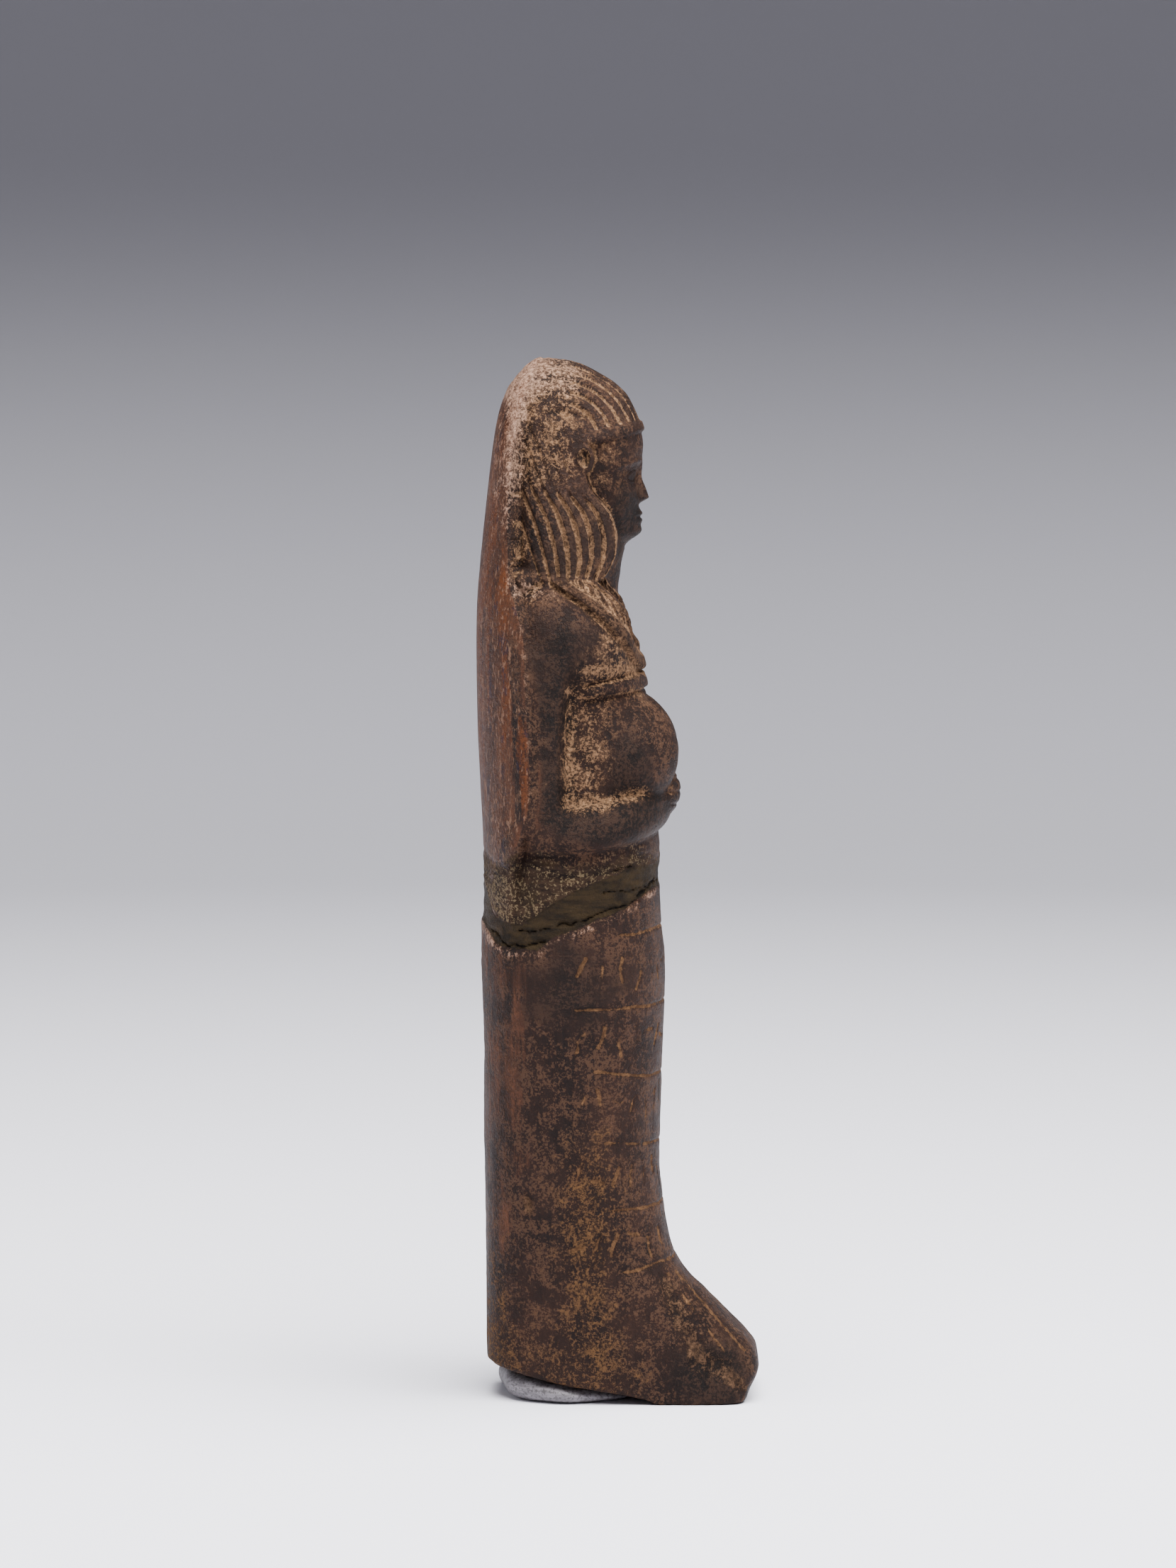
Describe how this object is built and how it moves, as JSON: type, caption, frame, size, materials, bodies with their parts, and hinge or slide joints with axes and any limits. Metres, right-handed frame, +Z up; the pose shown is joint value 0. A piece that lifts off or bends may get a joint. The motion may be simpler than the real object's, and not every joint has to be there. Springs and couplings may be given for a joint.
{
  "type": "funerary figurine",
  "caption": "Upright carved stone figurine with long wig, broad collar, folded arms and wrapped legs, propped on a putty pad.",
  "frame": {"origin": "middle of the footprint box, on the surface that the figure stands on", "axes": "+Z up; the figure faces -Y; +X is the figure's proper left"},
  "size_m": [0.0434, 0.049, 0.18],
  "materials": {
    "stone": "worn polish, dark brown, with tan dust in the carving",
    "putty": "matt, pressed by hand"
  },
  "bodies": {
    "root": {"figurine": "stone", "putty_pad": "putty"}
  },
  "joints": []
}
